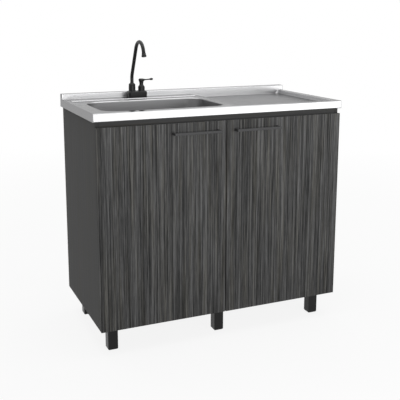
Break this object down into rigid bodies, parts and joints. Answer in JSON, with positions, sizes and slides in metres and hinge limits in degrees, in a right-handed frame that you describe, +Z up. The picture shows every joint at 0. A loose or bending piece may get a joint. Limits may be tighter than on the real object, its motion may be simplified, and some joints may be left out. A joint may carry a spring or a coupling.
{
  "type": "kitchen sink unit",
  "caption": "Freestanding kitchen sink unit: a pressed steel top with a bowl, drainer and swivel tap on a dark base cabinet with hinged doors and square legs.",
  "frame": {"origin": "on the floor, in the middle of the unit's outline", "axes": "+X to the right as seen from the front, +Y to the wall, +Z up"},
  "size_m": [1, 0.524, 1.1227],
  "materials": {
    "stainless": "pressed sheet, satin polished",
    "dark_board": "melamine-faced board, dark grey wood grain",
    "back_board": "thin hardboard",
    "leg_plastic": "moulded, matt black",
    "black_metal": "satin black coating",
    "hinge_steel": "nickel-plated pressed steel",
    "screw_steel": "zinc-plated steel",
    "cam_zinc": "die-cast",
    "brass": "machined",
    "rubber": "moulded",
    "white_plastic": "moulded, white"
  },
  "bodies": {
    "cabinet": {"back_board": "back_board", "back_board_tacks": "screw_steel", "bottom_panel": "dark_board", "cam_bolts": "screw_steel", "cam_locks": "cam_zinc", "door_bumpers": "rubber", "front_left_leg": "leg_plastic", "front_middle_leg": "leg_plastic", "front_right_leg": "leg_plastic", "front_top_rail": "dark_board", "hinge_pins": "hinge_steel", "hinge_plate_screws": "screw_steel", "hinge_plates": "hinge_steel", "left_side_panel": "dark_board", "leg_plates": "leg_plastic", "leg_screws": "screw_steel", "lower_left_hinge_arm": "hinge_steel", "lower_right_hinge_arm": "hinge_steel", "rear_left_leg": "leg_plastic", "rear_middle_leg": "leg_plastic", "rear_right_leg": "leg_plastic", "rear_top_rail": "dark_board", "right_side_panel": "dark_board", "sink_top": "stainless", "spout_collar": "black_metal", "strainer_body": "stainless", "strainer_gasket": "rubber", "strainer_locknut": "white_plastic", "strainer_neck_nut": "white_plastic", "tailpiece": "white_plastic", "tap_backnut": "brass", "tap_body": "black_metal", "tap_gasket": "rubber", "tap_washer": "rubber", "trap_arm": "white_plastic", "trap_bend": "white_plastic", "trap_slip_nuts": "white_plastic", "trap_slip_washers": "rubber", "upper_left_hinge_arm": "hinge_steel", "upper_right_hinge_arm": "hinge_steel"},
    "left_door": {"left_door": "dark_board", "left_pull": "black_metal", "left_pull_screws": "screw_steel", "left_cup_screws": "screw_steel", "lower_left_hinge_cup": "hinge_steel", "upper_left_hinge_cup": "hinge_steel"},
    "right_door": {"right_door": "dark_board", "right_pull": "black_metal", "right_pull_screws": "screw_steel", "right_cup_screws": "screw_steel", "lower_right_hinge_cup": "hinge_steel", "upper_right_hinge_cup": "hinge_steel"},
    "left_hinge_links": {"left_hinge_links": "hinge_steel"},
    "right_hinge_links": {"right_hinge_links": "hinge_steel"},
    "spout": {"spout_tube": "black_metal", "aerator": "black_metal"},
    "lever": {"lever_cap": "black_metal", "lever": "black_metal", "valve_stem": "brass"},
    "basket": {"strainer_basket": "stainless"}
  },
  "joints": [
    {"name": "left_door_hinge", "type": "hinge", "parent": "cabinet", "child": "left_door", "pos_m": [-0.4842, -0.229, 0.47], "axis": [0, 0, -1], "range_deg": [0, 105]},
    {"name": "right_door_hinge", "type": "hinge", "parent": "cabinet", "child": "right_door", "pos_m": [0.4842, -0.229, 0.47], "axis": [0, 0, 1], "range_deg": [0, 105]},
    {"name": "left_link_pivot", "type": "hinge", "parent": "cabinet", "child": "left_hinge_links", "pos_m": [-0.465, -0.2215, 0.47], "axis": [0, 0, 1], "range_deg": [0, 48]},
    {"name": "right_link_pivot", "type": "hinge", "parent": "cabinet", "child": "right_hinge_links", "pos_m": [0.465, -0.2215, 0.47], "axis": [0, 0, -1], "range_deg": [0, 48]},
    {"name": "spout_swivel", "type": "hinge", "parent": "cabinet", "child": "spout", "pos_m": [-0.219, 0.2005, 0.93], "axis": [0, 0, 1], "continuous": true},
    {"name": "lever_turn", "type": "hinge", "parent": "cabinet", "child": "lever", "pos_m": [-0.179, 0.2005, 0.95], "axis": [0, 0, 1], "range_deg": [-90, 0]},
    {"name": "basket_lift", "type": "slide", "parent": "cabinet", "child": "basket", "axis": [0, 0, 1], "range_m": [0, 0.2]}
  ],
  "couplings": [
    {"joint": "left_link_pivot", "follows": "left_door_hinge", "ratio": 0.44944},
    {"joint": "right_link_pivot", "follows": "right_door_hinge", "ratio": 0.44944}
  ]
}
